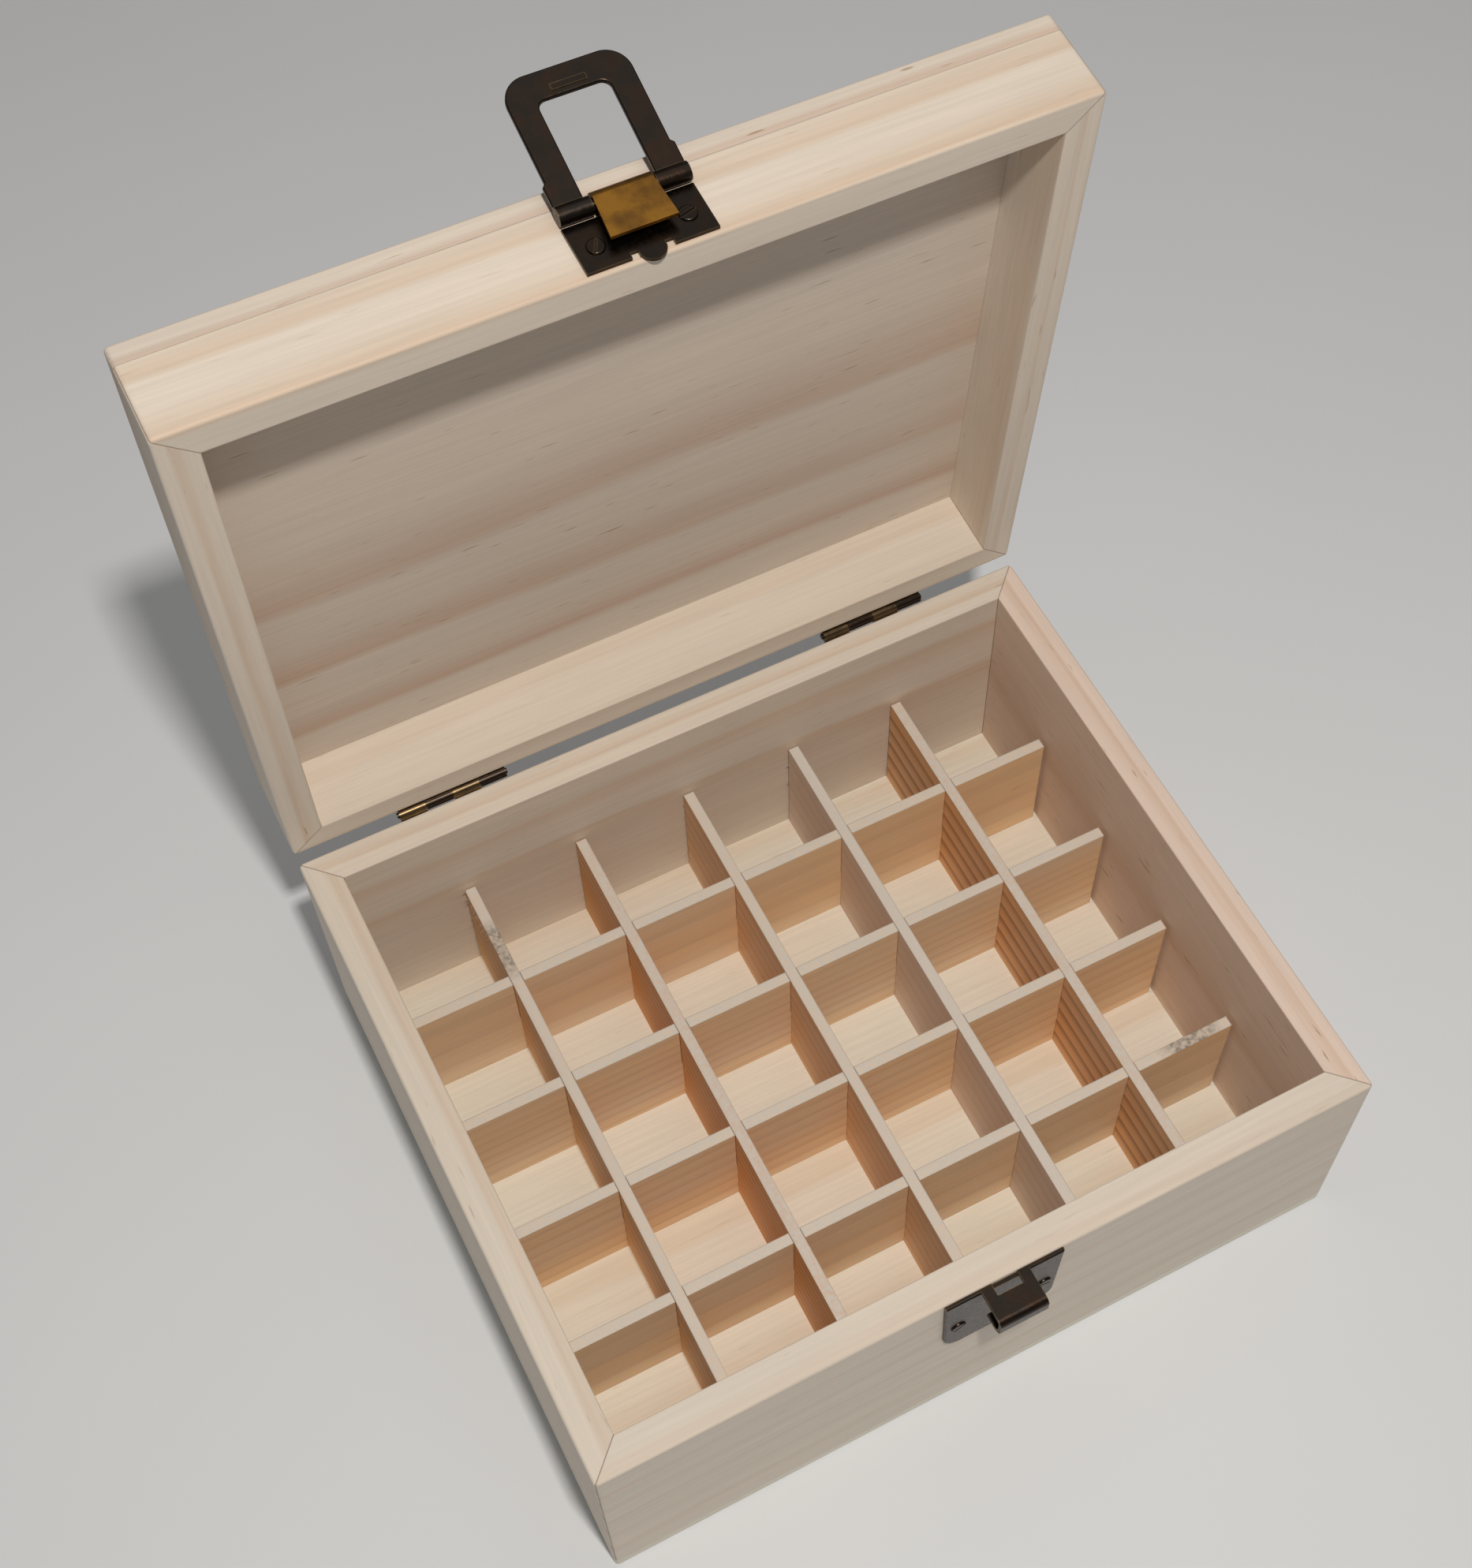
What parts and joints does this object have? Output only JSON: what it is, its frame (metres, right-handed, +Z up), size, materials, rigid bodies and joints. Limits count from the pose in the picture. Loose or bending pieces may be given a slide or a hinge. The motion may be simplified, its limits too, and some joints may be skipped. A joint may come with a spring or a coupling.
{
  "type": "hinged box with divider grid",
  "caption": "Unfinished pine box with a hinged lid, a bronze-coloured hasp and a lift-out grid of thin wooden dividers for small bottles, standing open",
  "frame": {"origin": "centre of the flat underside of the box", "axes": "+X to the right seen from the hasp side, +Y from the hasp to the hinges, +Z up; the lid stands open at 85 degrees"},
  "size_m": [0.205, 0.2143, 0.2611],
  "materials": {
    "pine_board": "planed pine, unfinished, eased edges",
    "pine_panel": "sanded pine panel, unfinished",
    "pine_strip": "thin sawn pine strip, unfinished",
    "antique_bronze": "stamped sheet, antique bronze plating worn bright on the edges",
    "dark_steel": "small slotted screws and hinge pins, antique bronze plating"
  },
  "bodies": {
    "box": {"front_wall": "pine_board", "back_wall": "pine_board", "left_wall": "pine_board", "right_wall": "pine_board", "bottom_panel": "pine_panel", "left_hinge_box_leaf": "antique_bronze", "right_hinge_box_leaf": "antique_bronze", "left_hinge_pin": "dark_steel", "right_hinge_pin": "dark_steel", "hinge_box_screws": "dark_steel", "catch_plate": "antique_bronze", "catch_screws": "dark_steel"},
    "lid": {"lid_front_rail": "pine_board", "lid_back_rail": "pine_board", "lid_left_rail": "pine_board", "lid_right_rail": "pine_board", "lid_top_panel": "pine_panel", "left_hinge_lid_leaf": "antique_bronze", "right_hinge_lid_leaf": "antique_bronze", "hinge_lid_screws": "dark_steel", "latch_plate": "antique_bronze", "latch_screws": "dark_steel"},
    "loop": {"latch_loop": "antique_bronze"},
    "divider_grid": {"long_divider_1": "pine_strip", "long_divider_2": "pine_strip", "long_divider_3": "pine_strip", "long_divider_4": "pine_strip", "short_divider_1": "pine_strip", "short_divider_2": "pine_strip", "short_divider_3": "pine_strip", "short_divider_4": "pine_strip", "short_divider_5": "pine_strip"}
  },
  "joints": [
    {"name": "lid_hinge", "type": "hinge", "parent": "box", "child": "lid", "pos_m": [0, 0.0892, 0.07115], "axis": [-1, 0, 0], "range_deg": [-85, 95]},
    {"name": "loop_swing", "type": "hinge", "parent": "lid", "child": "loop", "pos_m": [0, 0.08849, 0.25082], "axis": [1, 0, 0], "range_deg": [0, 166]},
    {"name": "grid_lift", "type": "slide", "parent": "box", "child": "divider_grid", "axis": [0, 0, 1], "range_m": [0, 0.045]}
  ]
}
